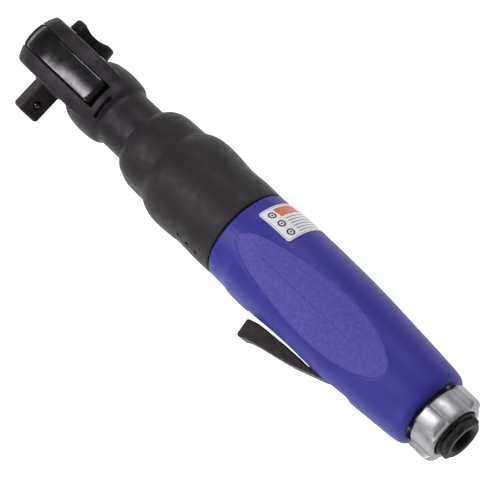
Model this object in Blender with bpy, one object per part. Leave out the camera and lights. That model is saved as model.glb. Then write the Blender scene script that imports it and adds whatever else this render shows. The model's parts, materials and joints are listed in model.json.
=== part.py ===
"""Air ratchet with a half-inch square drive, as an assembly of separate pieces.

The origin is the centre of the square drive's end face. +X runs along the tool to the air inlet, +Y from
the drive through the head to the reversing knob, and +Z out of the side that faces up when the tool lies
on its side. Sizes are in millimetres and become metres when a mesh is made. Heights called h are measured
along +Y from the tool's axis, which is also the middle of the head.
"""

import math

import bmesh
import bpy
from mathutils import Matrix, Vector

MM = 0.001

# Driving dimensions.
DRIVE_SQUARE = 12.7
DRIVE_REACH = 34.2
HEAD_HALF_HEIGHT = 15.6
NOSE_REACH = 27.1
HEAD_HALF_DEPTH = 24.2
FLANK_FALL = 5.5
DOME_RADIUS = 27.0
SLOT_HALF_HEIGHT = 7.4
SLOT_END_X = 36.8
COLLAR_RADIUS = 20.1
NECK_START_X = 44.0
NECK_RADIUS = 16.6
NECK_BORE = 13.4
GEAR_BORE = 17.5
MOTOR_BORE = 18.2
HOUSING_RADIUS = 24.2
COVER_FRONT_X = 64.0
JOINT_X = 143.3
SLEEVE_END_X = 281.0
RING_FRONT_X = 282.5
RING_REAR_X = 297.0
INLET_END_X = 302.9
INLET_BORE = 7.1
GAP = 0.3
SLEEVE_SIDES = 28

# Ratchet.
YOKE_TEETH = 40
YOKE_TOOTH_TIP = 14.2
YOKE_TOOTH_ROOT = 15.5
ANVIL_RADIUS = 13.3
KNOB_REST_ANGLE = 148.0
PAWL_ANGLE = 180.0
PAWL_PIN_RADIUS = 10.2
PAWL_ROCK = 4.0
DRIVE_TURN = 38.0
ECCENTRICITY = 1.8

# Reduction gear.
GEAR_MODULE = 0.75
SUN_TEETH = 9
PLANET_TEETH = 15
RING_TEETH = 39
PLANET_COUNT = 3
PLANET_ORBIT = GEAR_MODULE * (SUN_TEETH + PLANET_TEETH) / 2

# Air motor.
ROTOR_RADIUS = 11.4
CYLINDER_OFFSET = 1.6
CYLINDER_BORE = 13.3
VANE_COUNT = 5
MOTOR_X = (98.6, 146.0)

# Throttle.
LEVER_PIVOT = (238.0, -18.6)
LEVER_HALF_WIDTH = 6.5
LEVER_WALL = 1.6
STEM_X = 219.0
BALL_RADIUS = 4.0

# Colours and finishes: name, colour, roughness, metallic.
FINISHES = {
    "blackened_steel": ((0.035, 0.032, 0.037), 0.42, 0.85),
    "bright_steel": ((0.46, 0.46, 0.48), 0.28, 1.0),
    "drive_steel": ((0.05, 0.048, 0.05), 0.38, 0.9),
    "knob_black": ((0.02, 0.022, 0.022), 0.5, 0.3),
    "motor_aluminium": ((0.55, 0.56, 0.58), 0.38, 1.0),
    "cover_rubber": ((0.03, 0.028, 0.03), 0.62, 0.0),
    "grip_blue": ((0.05, 0.04, 0.33), 0.45, 0.0),
    "lever_steel": ((0.045, 0.042, 0.04), 0.5, 0.8),
    "ring_chrome": ((0.62, 0.62, 0.64), 0.2, 1.0),
    "inlet_black": ((0.04, 0.036, 0.038), 0.4, 0.8),
    "vane_resin": ((0.16, 0.09, 0.04), 0.6, 0.0),
    "felt": ((0.3, 0.29, 0.27), 0.9, 0.0),
    "seal_rubber": ((0.02, 0.02, 0.02), 0.6, 0.0),
    "bronze": ((0.42, 0.27, 0.12), 0.35, 1.0),
    "label_white": ((0.8, 0.8, 0.8), 0.4, 0.0),
}


def clear_scene():
    for obj in list(bpy.data.objects):
        bpy.data.objects.remove(obj)


def finish(name):
    """The material of this name, made on first use."""
    found = bpy.data.materials.get(name)
    if found:
        return found
    colour, roughness, metallic = FINISHES[name]
    material = bpy.data.materials.new(name)
    material.use_nodes = True
    shader = material.node_tree.nodes["Principled BSDF"]
    shader.inputs["Base Color"].default_value = (*colour, 1.0)
    shader.inputs["Roughness"].default_value = roughness
    shader.inputs["Metallic"].default_value = metallic
    return material


# Points and meshes, in millimetres from the origin.


def from_axis(x, h, z):
    """The point at x along the tool, h above its axis and z out of its side."""
    return (x, DRIVE_REACH + h, z)


def turned(radius, degrees):
    """Polar coordinates to (u, v)."""
    angle = math.radians(degrees)
    return (radius * math.cos(angle), radius * math.sin(angle))


def arc(radius, start, end, steps, centre=(0.0, 0.0)):
    """Points along an arc from start to end degrees, both included."""
    points = []
    for step in range(steps + 1):
        u, v = turned(radius, start + (end - start) * step / steps)
        points.append((centre[0] + u, centre[1] + v))
    return points


def circle(radius, count, centre=(0.0, 0.0), start=0.0):
    return arc(radius, start, start + 360.0, count, centre)[:-1]


def rectangle(low_u, low_v, high_u, high_v):
    return [(low_u, low_v), (high_u, low_v), (high_u, high_v), (low_u, high_v)]


def rounded_square(side, corner, steps):
    """A square about the origin with rounded corners."""
    inner = side / 2 - corner
    points = []
    for quarter in range(4):
        sign_u, sign_v = turned(math.sqrt(2.0), 45.0 + 90.0 * quarter)
        centre = (inner * sign_u, inner * sign_v)
        points += arc(corner, 90.0 * quarter, 90.0 * quarter + 90.0, steps, centre)
    return points


def rotated(points, degrees):
    cos, sin = math.cos(math.radians(degrees)), math.sin(math.radians(degrees))
    return [(u * cos - v * sin, u * sin + v * cos) for u, v in points]


def place(axis, u, v, w):
    """A point of an outline (u, v) at w along the axis. X: (h, z). Y: (x, z), w is h. Z: (x, h)."""
    if axis == "X":
        return from_axis(w, u, v)
    if axis == "Y":
        return from_axis(u, w, v)
    return from_axis(u, v, w)


def loft(axis, levels):
    """A closed mesh through outlines of equal length, given as (position along the axis, outline)."""
    mesh = bmesh.new()
    rings = []
    for w, outline in levels:
        rings.append([mesh.verts.new(place(axis, u, v, w)) for u, v in outline])
    count = len(rings[0])
    for lower, upper in zip(rings, rings[1:]):
        for k in range(count):
            following = (k + 1) % count
            mesh.faces.new((lower[k], lower[following], upper[following], upper[k]))
    mesh.faces.new(rings[0])
    mesh.faces.new(rings[-1])
    return mesh


def prism(axis, outline, low, high):
    return loft(axis, [(low, outline), (high, outline)])


def pierced_prism(axis, outline, holes, low, high):
    """A plate with holes through it. The outline and the holes may have any number of points."""
    mesh = bmesh.new()
    edges = []
    for loop in [outline, *holes]:
        ring = [mesh.verts.new(place(axis, u, v, low)) for u, v in loop]
        for start, end in zip(ring, ring[1:] + ring[:1]):
            edges.append(mesh.edges.new((start, end)))
    bmesh.ops.triangle_fill(mesh, use_beauty=True, edges=edges)
    made = bmesh.ops.extrude_face_region(mesh, geom=list(mesh.faces))
    moved = [item for item in made["geom"] if isinstance(item, bmesh.types.BMVert)]
    step = Vector(place(axis, 0.0, 0.0, high)) - Vector(place(axis, 0.0, 0.0, low))
    bmesh.ops.translate(mesh, verts=moved, vec=step)
    return mesh


def lathe(axis, profile, count, centre=(0.0, 0.0), start=0.0):
    """A closed profile of (position along the axis, radius) turned about a line parallel to the axis."""
    mesh = bmesh.new()
    rings = []
    for w, radius in profile:
        if radius == 0.0:
            point = mesh.verts.new(place(axis, *centre, w))
            rings.append([point] * count)
            continue
        points = circle(radius, count, centre, start)
        rings.append([mesh.verts.new(place(axis, u, v, w)) for u, v in points])
    for lower, upper in zip(rings, rings[1:] + rings[:1]):
        for k in range(count):
            following = (k + 1) % count
            corners = (lower[k], lower[following], upper[following], upper[k])
            corners = list(dict.fromkeys(corners))
            if len(corners) > 2:
                mesh.faces.new(corners)
    return mesh


def bar(axis, radius, low, high, count, centre=(0.0, 0.0)):
    """A round bar. Its first corner is off the planes of symmetry, clear of crossing bores' corners."""
    return prism(axis, circle(radius, count, centre, 5.0 if axis == "X" else 9.0), low, high)


def tube(axis, inner, outer, low, high, count, centre=(0.0, 0.0)):
    return lathe(axis, [(low, inner), (low, outer), (high, outer), (high, inner)], count, centre)


def box(low, high):
    """A box between two corners, each (x, h, z)."""
    return prism("Z", rectangle(low[0], low[1], high[0], high[1]), low[2], high[2])


def coil(radius, wire, turns, length, per_turn=8):
    """A spring along +X from the origin, of square wire that starts and ends on flat ends."""
    mesh = bmesh.new()
    section = [(-wire, -wire), (wire, -wire), (wire, wire), (-wire, wire)]
    rings = []
    steps = int(turns * per_turn)
    for step in range(steps + 1):
        share = step / steps
        angle = 2.0 * math.pi * turns * share
        ring = []
        for along, out in section:
            x = length * share + along
            reach = radius + out
            ring.append(mesh.verts.new((x, reach * math.cos(angle), reach * math.sin(angle))))
        rings.append(ring)
    for lower, upper in zip(rings, rings[1:]):
        for k in range(4):
            following = (k + 1) % 4
            mesh.faces.new((lower[k], lower[following], upper[following], upper[k]))
    mesh.faces.new(rings[0])
    mesh.faces.new(rings[-1])
    return mesh


def ball(radius, centre, segments=12, rings=7):
    mesh = bmesh.new()
    bmesh.ops.create_uvsphere(mesh, u_segments=segments, v_segments=rings, radius=radius)
    bmesh.ops.translate(mesh, verts=mesh.verts, vec=from_axis(*centre))
    return mesh


def about_drive(mesh, degrees):
    """Turns a mesh about the drive axis, from +X towards +Z."""
    turn = Matrix.Rotation(-math.radians(degrees), 3, "Y")
    bmesh.ops.rotate(mesh, verts=mesh.verts, matrix=turn)
    return mesh


def aimed(mesh, degrees, centre):
    """Turns a mesh made along +X so that it points at this angle in the XZ plane, and moves it."""
    about_drive(mesh, degrees)
    bmesh.ops.translate(mesh, verts=mesh.verts, vec=from_axis(*centre))
    return mesh


def spoke(radius, low, high, count, degrees, h):
    """A round bar that points away from the drive axis at this angle, between two distances from it."""
    mesh = bar("X", radius, low, high, count)
    bmesh.ops.translate(mesh, verts=mesh.verts, vec=-Vector(from_axis(0.0, 0.0, 0.0)))
    return aimed(mesh, degrees, (0.0, h, 0.0))


# Objects.


def make_object(name, mesh, origin):
    bmesh.ops.recalc_face_normals(mesh, faces=mesh.faces)
    bmesh.ops.translate(mesh, verts=mesh.verts, vec=-Vector(origin))
    bmesh.ops.scale(mesh, verts=mesh.verts, vec=(MM, MM, MM))
    data = bpy.data.meshes.new(name)
    mesh.to_mesh(data)
    mesh.free()
    obj = bpy.data.objects.new(name, data)
    obj.location = Vector(origin) * MM
    bpy.context.collection.objects.link(obj)
    return obj


def piece(name, mesh, material, origin=(0.0, 0.0, 0.0)):
    """A piece of the tool, with its origin where it turns or slides."""
    obj = make_object(name, mesh, origin)
    obj.data.materials.append(finish(material))
    obj.data.shade_smooth()
    obj.data.set_sharp_from_angle(angle=math.radians(32.0))
    obj.parent = bpy.data.objects["air_ratchet"]
    return obj


def shape_with(target, mesh, operation):
    """Cuts, joins or trims the target with a hidden helper."""
    helper = make_object("helper_" + target.name, mesh, (0.0, 0.0, 0.0))
    helper.hide_render = True
    helper.display_type = "WIRE"
    change = target.modifiers.new(operation.lower(), "BOOLEAN")
    change.operation = operation
    change.object = helper
    change.solver = "EXACT"


def cut(target, *meshes):
    for mesh in meshes:
        shape_with(target, mesh, "DIFFERENCE")


# Head.


def head_outline(shrink, rear_x):
    """Plan of the head at one height: an elliptical nose, then flanks that close in towards the neck."""
    reach, half_depth = NOSE_REACH - shrink, HEAD_HALF_DEPTH - shrink
    nose = [(reach * u, half_depth * v) for u, v in arc(1.0, 90.0, 270.0, 16)]
    rear_z = half_depth - FLANK_FALL * rear_x / NECK_START_X
    return [*nose, (rear_x, -rear_z), (rear_x, rear_z)]


def dome(h):
    """How far the head's outline draws in at this height."""
    return h * h / (2.0 * DOME_RADIUS)


def ratchet_head():
    levels = []
    edge = 1.3
    for h, rounding in ((HEAD_HALF_HEIGHT, edge), (14.3, 0.0), (8.0, 0.0), (0.0, 0.0)):
        levels.append((h, head_outline(dome(h) + rounding, NECK_START_X)))
    levels += [(-h, outline) for h, outline in levels[-2::-1]]
    head = piece("ratchet_head", loft("Y", levels), "blackened_steel")
    envelope = [(-30, 0), (-30, 30), (3, 28.5), (12, 26.6), (20, 24.2), (28, 21.8), (34, 20.1)]
    envelope += [(38, 18.9), (38, 0)]
    shape_with(head, lathe("X", envelope, 28, start=6.4), "INTERSECT")
    rear = [(16, 0), (16, 15.2), (18, 17.3), (23, 19.2), (31, COLLAR_RADIUS), (41.5, 19.2), (43, 18.6)]
    rear += [(44.4, NECK_RADIUS + 0.2), (71.8, NECK_RADIUS)]
    rear += [(71.8, 19.5), (75, 19.5), (75, 19.1), (88.5, 19.1), (88.5, 0)]
    shape_with(head, lathe("X", rear, 28), "UNION")
    bores = [(26, 0), (26, 9.6), (39.6, 9.6), (39.6, NECK_BORE), (72.1, NECK_BORE), (72.1, GEAR_BORE)]
    bores += [(90, GEAR_BORE), (90, 0)]
    cut(head, lathe("X", bores, 26))
    cut(head, box((-30, -SLOT_HALF_HEIGHT, -30), (SLOT_END_X, SLOT_HALF_HEIGHT, 30)))
    cut(head, bar("Y", ANVIL_RADIUS + 0.4, -17, 0, 28))
    cut(head, bar("Y", 9.2, 0, 17, 20))
    cut(head, tube("Y", 13.0, 14.6, -14.95, -13.95, 28))
    for side in (-1, 1):
        near, far = sorted((side * 10.0, side * 25.0))
        cut(head, box((40.3, -9.9, near), (42.3, 4.1, far)))
    return head


def yoke_outline():
    """Plan of the yoke: a ring with two legs that straddle the crank."""
    corner_x, rear_x, gap_half, gap_x = 30.5, 35.0, 10.4, 31.0
    sides = head_outline(dome(SLOT_HALF_HEIGHT), corner_x)
    corner_z = sides[-1][1]
    bend = [(33.2, corner_z - 0.9), (34.6, corner_z - 2.6), (rear_x, corner_z - 4.6)]
    gap = arc(gap_half, 270.0, 90.0, 12, (gap_x, 0.0))
    lower_bend = [(x, -z) for x, z in bend]
    return [*sides[:-1], *lower_bend, (rear_x, -gap_half), *gap, (rear_x, gap_half), *bend[::-1], sides[-1]]


def ratchet_teeth(count, tip, root):
    """A ring of pointed internal teeth."""
    points = []
    for tooth in range(count):
        angle = 360.0 * tooth / count
        points.append(turned(tip, angle))
        points.append(turned(root, angle + 180.0 / count))
    return points


def drive_axis_point(h):
    return from_axis(0.0, h, 0.0)


def ratchet_yoke():
    half = SLOT_HALF_HEIGHT - GAP
    teeth = ratchet_teeth(YOKE_TEETH, YOKE_TOOTH_TIP, YOKE_TOOTH_ROOT)
    mesh = pierced_prism("Y", yoke_outline(), [teeth], -half, half)
    return piece("ratchet_yoke", mesh, "bright_steel", drive_axis_point(0.0))


def pawl_outline():
    """The pawl in mid position, about the drive axis and pointing along +u."""
    outer = []
    for degrees, radius in ((-36, 13.3), (-31, 12.3), (-27, 13.3), (-22, 12.4)):
        outer.append(turned(radius, degrees))
    outer += arc(12.2, -12.0, 12.0, 4)
    outer += [(u, -v) for u, v in outer[3::-1]]
    inner = arc(7.9, 30.0, -30.0, 8)
    return [*outer, *inner]


def sector(inner, outer, half_angle, middle, steps):
    low, high = middle - half_angle, middle + half_angle
    return [*arc(outer, low, high, steps), *arc(inner, high, low, steps)]


def square_drive_anvil():
    body = [(-18.5, 0), (-18.5, 8.2), (-17.6, 9.5), (-12.7, 9.5), (-12.7, ANVIL_RADIUS), (7.1, ANVIL_RADIUS)]
    body += [(7.1, 8.9), (12.2, 8.9), (12.2, 0)]
    anvil = piece("square_drive_anvil", lathe("Y", body, 24), "drive_steel", drive_axis_point(0.0))
    full = rotated(rounded_square(DRIVE_SQUARE, 1.1, 3), 90.0 + DRIVE_TURN)
    tip = rotated(rounded_square(DRIVE_SQUARE - 2.6, 0.9, 3), 90.0 + DRIVE_TURN)
    levels = [(-15.5, full), (-DRIVE_REACH + 1.5, full), (-DRIVE_REACH, tip)]
    shape_with(anvil, loft("Y", levels), "UNION")
    cut(anvil, bar("Y", 4.4, -8.0, 14.0, 16))
    pocket = sector(6.9, 16.0, 43.0, PAWL_ANGLE, 8)
    cut(anvil, prism("Y", pocket, -6.6, 6.6))
    sweep = sector(3.4, 8.0, 53.0, PAWL_ANGLE, 8)
    cut(anvil, prism("Y", sweep, -1.9, 1.9))
    cut(anvil, bar("Y", 1.65, -9.5, 9.0, 12, turned(PAWL_PIN_RADIUS, PAWL_ANGLE)))
    return anvil


def drive_detent(anvil):
    """Ball and spring in a blind hole in the face of the square that is turned towards the inlet."""
    height = -26.4
    ball_radius, proud = 2.05, 0.9
    reach = DRIVE_SQUARE / 2 - ball_radius + proud
    cut(anvil, spoke(2.3, -1.6, 9.0, 16, DRIVE_TURN, height))
    x, z = turned(reach, DRIVE_TURN)
    centre = (x, height, z)
    piece("detent_ball", ball(ball_radius, centre), "bright_steel", from_axis(*centre))
    x, z = turned(-1.1, DRIVE_TURN)
    spring = aimed(coil(1.5, 0.2, 3.5, 2.8), DRIVE_TURN, (x, height, z))
    piece("detent_spring", spring, "bright_steel")


def ratchet_parts():
    low, high = -6.2, 6.2
    x, z = turned(PAWL_PIN_RADIUS, PAWL_ANGLE)
    outline = rotated(pawl_outline(), PAWL_ANGLE)
    shifted = [(u - x, v - z) for u, v in outline]
    rocked = [(u + x, v + z) for u, v in rotated(shifted, PAWL_ROCK)]
    mesh = pierced_prism("Y", rocked, [circle(1.7, 12, (x, z))], low, high)
    piece("pawl", mesh, "bright_steel", from_axis(x, 0.0, z))
    piece("pawl_pin", bar("Y", 1.4, -9.2, 6.9, 12, (x, z)), "bright_steel", from_axis(x, 0.0, z))
    washer = tube("Y", 9.9, 13.35, -13.7, -13.0, 24)
    piece("anvil_thrust_washer", washer, "bright_steel", drive_axis_point(-13.3))
    open_ring = sector(12.2, 14.3, 168.0, 0.0, 22)
    ring = prism("Y", open_ring, -14.8, -14.1)
    piece("anvil_retaining_ring", ring, "blackened_steel")


def bow_tie(length, lobe, waist):
    """Plan of the knob's grip along +u: two rounded ends with a waist between."""
    reach = length / 2 - lobe / 2
    right = arc(lobe / 2, -72.0, 72.0, 7, (reach, 0.0))
    left = [(-u, -v) for u, v in right]
    middle_top = [(0.0, waist / 2)]
    middle_bottom = [(0.0, -waist / 2)]
    return [*right, *middle_top, *left, *middle_bottom]


def reverse_knob():
    grip_low, grip_top = HEAD_HALF_HEIGHT + 0.4, 22.6
    body = [(-7.4, 0), (-7.4, 4.05), (12.6, 4.05), (12.6, 8.8), (grip_low + 0.4, 8.8), (grip_low + 0.4, 0)]
    knob = piece("reverse_knob", lathe("Y", body, 24), "knob_black", drive_axis_point(HEAD_HALF_HEIGHT))
    levels = []
    for h, length, lobe, waist in (
        (grip_low, 27.0, 15.2, 12.6),
        (grip_top - 2.6, 26.4, 14.6, 12.0),
        (grip_top - 0.7, 24.4, 12.8, 10.4),
        (grip_top, 22.8, 11.2, 9.0),
    ):
        levels.append((h, rotated(bow_tie(length, lobe, waist), KNOB_REST_ANGLE)))
    shape_with(knob, loft("Y", levels), "UNION")
    dip_radius, dip_depth = 18.0, 1.7
    centre_h = grip_top - dip_depth + dip_radius
    roller = prism("Z", circle(dip_radius, 40, (0.0, centre_h)), -14.0, 14.0)
    cut(knob, about_drive(roller, KNOB_REST_ANGLE))
    cut(knob, spoke(1.55, -2.8, 6.0, 12, KNOB_REST_ANGLE, 0.0))
    plunger = spoke(1.3, 1.5, 7.3, 12, KNOB_REST_ANGLE, 0.0)
    piece("pawl_plunger", plunger, "bright_steel")
    x, z = turned(-2.3, KNOB_REST_ANGLE)
    spring = aimed(coil(1.0, 0.2, 3.0, 3.2), KNOB_REST_ANGLE, (x, 0.0, z))
    piece("plunger_spring", spring, "bright_steel")
    return knob


# Crank and reduction gear.


def crankshaft():
    body = [(39.95, 0), (39.95, 12.9), (43.3, 12.9), (43.3, 8.0), (72.4, 8.0), (72.4, 16.9), (75.2, 16.9)]
    body += [(75.2, 0)]
    crank = piece("crankshaft", lathe("X", body, 24), "bright_steel", from_axis(0.0, 0.0, 0.0))
    shape_with(crank, bar("X", 3.9, 30.0, 41.0, 16, (ECCENTRICITY, 0.0)), "UNION")
    for planet in range(PLANET_COUNT):
        centre = turned(PLANET_ORBIT, 360.0 * planet / PLANET_COUNT)
        cut(crank, bar("X", 2.2, 72.9, 76.0, 12, centre))
        pin = bar("X", 2.0, 73.2, 85.4, 12, centre)
        piece(f"planet_pin_{planet + 1}", pin, "bright_steel", from_axis(80.0, *centre))
    bushing = tube("X", 4.15, 6.3, 30.4, 38.6, 20, (ECCENTRICITY, 0.0))
    piece("drive_bushing", bushing, "bronze", from_axis(34.5, ECCENTRICITY, 0.0))
    for name, low, high in (("crank_bearing_front", 45.2, 54.0), ("crank_bearing_rear", 60.0, 70.5)):
        piece(name, tube("X", 8.3, 13.1, low, high, 24), "bright_steel", from_axis(low, 0.0, 0.0))


def gear_outline(teeth, pitch_phase, tip, root, tip_width, root_width):
    """Straight-flanked teeth between two radii, with one tooth centred on the phase in degrees."""
    points = []
    tip_half = math.degrees(tip_width / tip) / 2
    root_half = math.degrees(root_width / root) / 2
    for tooth in range(teeth):
        middle = pitch_phase + 360.0 * tooth / teeth
        points.append(turned(root, middle - root_half))
        points.append(turned(tip, middle - tip_half))
        points.append(turned(tip, middle + tip_half))
        points.append(turned(root, middle + root_half))
    return points


def external_gear(teeth, phase):
    pitch = GEAR_MODULE * teeth / 2
    tip, root = pitch + 0.95 * GEAR_MODULE, pitch - 1.2 * GEAR_MODULE
    return gear_outline(teeth, phase, tip, root, 0.55 * GEAR_MODULE, 1.7 * GEAR_MODULE)


def internal_gear(teeth, phase):
    pitch = GEAR_MODULE * teeth / 2
    tip, root = pitch - 0.95 * GEAR_MODULE, pitch + 1.2 * GEAR_MODULE
    return gear_outline(teeth, phase, tip, root, 0.55 * GEAR_MODULE, 1.7 * GEAR_MODULE)


def reduction_gear():
    """One ring tooth and one planet gap point outwards at each planet, and one planet tooth inwards."""
    for planet in range(PLANET_COUNT):
        angle = 360.0 * planet / PLANET_COUNT
        x, z = turned(PLANET_ORBIT, angle)
        outline = [(u + x, v + z) for u, v in external_gear(PLANET_TEETH, angle + 180.0)]
        bore = circle(2.3, 12, (x, z))
        mesh = pierced_prism("X", outline, [bore], 76.0, 84.6)
        piece(f"planet_gear_{planet + 1}", mesh, "bright_steel", from_axis(80.0, x, z))
    mesh = pierced_prism("X", circle(17.2, 28), [internal_gear(RING_TEETH, 0.0)], 75.6, 86.0)
    piece("ring_gear", mesh, "bright_steel", from_axis(80.0, 0.0, 0.0))


def clamp_nut():
    profile = [(70.0, 17.1), (70.0, 19.6), (71.6, 21.2), (101.0, 21.2), (101.0, 19.9), (71.5, 19.9)]
    profile += [(71.5, 17.1)]
    piece("clamp_nut", lathe("X", profile, 24), "motor_aluminium", from_axis(70.0, 0.0, 0.0))


# Air motor.


def rotor():
    front, rear = MOTOR_X
    body = [(85.5, 0), (85.5, 3.8), (front + 0.4, 3.8), (front + 0.4, ROTOR_RADIUS)]
    body += [(rear - 0.4, ROTOR_RADIUS), (rear - 0.4, 3.8), (154.0, 3.8), (154.0, 0)]
    shaft = piece("rotor", lathe("X", body, 30), "bright_steel", from_axis(100.0, 0.0, 0.0))
    sun_phase = 180.0 / SUN_TEETH
    shape_with(shaft, prism("X", external_gear(SUN_TEETH, sun_phase), 76.2, 87.0), "UNION")
    for vane in range(VANE_COUNT):
        angle = 360.0 * (vane + 0.25) / VANE_COUNT
        slot = rotated(rectangle(4.9, -1.15, 13.0, 1.15), angle)
        cut(shaft, prism("X", slot, front - 1.0, rear + 1.0))
        blade = rotated(rectangle(5.2, -0.9, ROTOR_RADIUS - 0.1, 0.9), angle)
        mesh = prism("X", blade, front + 0.5, rear - 0.5)
        piece(f"rotor_vane_{vane + 1}", mesh, "vane_resin", from_axis(122.0, 0.0, 0.0))


def motor_stator():
    front, rear = MOTOR_X
    dowel_centre = (-15.4, 0.0)
    port_centre = (13.5, 0.0)
    outer = circle(17.8, 32)
    bore = circle(CYLINDER_BORE, 32, (CYLINDER_OFFSET, 0.0))
    dowel_hole = circle(1.3, 10, dowel_centre)
    mesh = pierced_prism("X", outer, [bore, dowel_hole], front, rear)
    cylinder = piece("motor_cylinder", mesh, "motor_aluminium", from_axis(front, 0.0, 0.0))
    for side in (-1, 1):
        for x in (110.0, 119.0, 128.0):
            near, far = sorted((side * 9.0, side * 19.0))
            cut(cylinder, box((x, -4.0, near), (x + 5.0, 1.0, far)))
    pocket = 9.2
    plate = [(89.7, 5.0), (89.7, 17.8), (front - GAP, 17.8), (front - GAP, pocket)]
    plate += [(91.4, pocket), (91.4, 5.0)]
    front_plate = piece("front_end_plate", lathe("X", plate, 24), "motor_aluminium", from_axis(90, 0, 0))
    cut(front_plate, bar("X", 1.3, 93.0, 100.0, 10, dowel_centre))
    plate = [(rear + GAP, 4.4), (rear + GAP, 17.8), (155.0, 17.8), (155.0, pocket), (147.9, pocket)]
    plate += [(147.9, 4.4)]
    rear_plate = piece("rear_end_plate", lathe("X", plate, 24), "motor_aluminium", from_axis(147, 0, 0))
    cut(rear_plate, bar("X", 1.3, 145.0, 151.0, 10, dowel_centre))
    cut(rear_plate, bar("X", 2.0, 145.0, 157.0, 10, port_centre))
    dowel = bar("X", 1.1, 93.3, 150.7, 10, dowel_centre)
    piece("cylinder_dowel", dowel, "bright_steel", from_axis(93.3, *dowel_centre))
    for name, low, high in (("front_rotor_bearing", 91.8, 97.8), ("rear_rotor_bearing", 148.3, 153.8)):
        piece(name, tube("X", 4.1, 8.9, low, high, 20), "bright_steel", from_axis(low, 0.0, 0.0))


# Motor housing, valve and air inlet.


def motor_housing():
    profile = [(89.0, MOTOR_BORE), (89.0, 19.5), (102.5, 19.5), (102.5, HOUSING_RADIUS)]
    profile += [(225.0, HOUSING_RADIUS), (242.0, 23.1), (254.0, 22.3), (267.0, 21.2), (275.0, 20.2)]
    profile += [(277.0, 19.0), (277.0, 13.4), (294.2, 13.4), (294.2, 11.2), (262.0, 11.2), (262.0, 9.0)]
    profile += [(246.0, 9.0), (246.0, 6.6), (205.0, 6.6), (205.0, 0.0), (157.0, 0.0), (157.0, MOTOR_BORE)]
    housing = piece("motor_housing", lathe("X", profile, 24), "motor_aluminium", from_axis(89.0, 0.0, 0.0))
    cut(housing, bar("X", 2.2, 150.0, 212.0, 8, (13.5, 0.0)))
    cut(housing, bar("Y", 2.4, 3.0, 15.2, 8, (208.5, 0.0)))
    for angle in (50.0, 110.0, 250.0, 310.0):
        cut(housing, bar("X", 2.0, 150.0, 280.0, 8, turned(16.1, angle)))
    pocket = [(170.5, -40.0), (247.0, -40.0), (247.0, -14.4), (227.0, -14.4), (227.0, -22.8), (170.5, -22.8)]
    cut(housing, prism("Z", pocket, -7.3, 7.3))
    cut(housing, bar("Z", 1.75, -26.0, 26.0, 12, LEVER_PIVOT))
    cut(housing, bar("Y", 3.8, -24.0, -5.0, 14, (STEM_X, 0.0)))


LEVER_BACK = [(228.5, -26.2), (222.5, -28.3), (217.4, -30.0), (212.0, -31.8), (205.0, -33.6)]
LEVER_BACK += [(198.0, -35.1), (190.5, -36.6), (184.0, -38.3)]


def lever_outline():
    """Side view of the lever as (x, h)."""
    pivot_x, pivot_h = LEVER_PIVOT
    tip = [(180.6, -39.8), (179.4, -39.4), (177.8, -30.3), (178.6, -29.6)]
    inner = [(184.5, -28.1), (208.0, -27.3), (219.0, -26.7), (227.5, -24.6)]
    eye = arc(3.4, 200.0, -90.0, 12, LEVER_PIVOT)
    return [(pivot_x - 2.0, pivot_h - 3.3), *LEVER_BACK, *tip, *inner, *eye]


def throttle_lever():
    mesh = prism("Z", lever_outline(), -LEVER_HALF_WIDTH, LEVER_HALF_WIDTH)
    pivot = from_axis(*LEVER_PIVOT, 0.0)
    lever = piece("throttle_lever", mesh, "lever_steel", pivot)
    channel = LEVER_HALF_WIDTH - LEVER_WALL
    hollow = [(x, h + LEVER_WALL) for x, h in LEVER_BACK]
    hollow += [(181.4, -38.0), (180.6, -37.0), (179.2, -24.0), (216.0, -20.0), (229.0, -12.0)]
    hollow += [(244.0, -12.0), (244.0, -28.0), (236.0, -26.0)]
    cut(lever, prism("Z", hollow, -channel, channel))
    cut(lever, bar("Z", 1.75, -10.0, 10.0, 14, LEVER_PIVOT))
    piece("lever_pin", bar("Z", 1.5, -11.4, 11.4, 14, LEVER_PIVOT), "bright_steel", pivot)


def throttle_valve():
    stem = [(-27.4, 0), (-27.4, 1.2), (-27.0, 1.5), (-6.9, 1.5), (-6.5, 1.2), (-6.5, 0)]
    mesh = lathe("Y", stem, 12, (STEM_X, 0.0))
    piece("valve_stem", mesh, "bright_steel", from_axis(STEM_X, -15.0, 0.0))
    bushing = tube("Y", 1.7, 3.5, -22.4, -8.0, 16, (STEM_X, 0.0))
    piece("valve_stem_bushing", bushing, "bronze", from_axis(STEM_X, -15.0, 0.0))
    seat_x = STEM_X - 2.95
    piece("valve_seat", tube("X", 3.0, 6.3, seat_x - 3.0, seat_x, 20), "seal_rubber")
    piece("throttle_ball", ball(BALL_RADIUS, (STEM_X, 0.0, 0.0)), "bright_steel", from_axis(STEM_X, 0, 0))
    spring = coil(4.4, 0.45, 5.0, 17.6)
    bmesh.ops.translate(spring, verts=spring.verts, vec=from_axis(224.8, 0.0, 0.0))
    piece("valve_spring", spring, "bright_steel")
    piece("spring_retainer", tube("X", 3.2, 6.3, 243.4, 245.2, 20), "bright_steel")


def lobed_outline(radius, depth, lobes, steps, phase):
    """A circle with shallow hollows between rounded lobes. The phase is the angle of one lobe."""
    points = []
    for k in range(lobes * steps):
        degrees = 360.0 * k / (lobes * steps)
        hollow = (1.0 - math.cos(math.radians(lobes * degrees))) / 2.0
        points.append(turned(radius - depth * hollow, degrees + phase))
    return points


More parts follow.
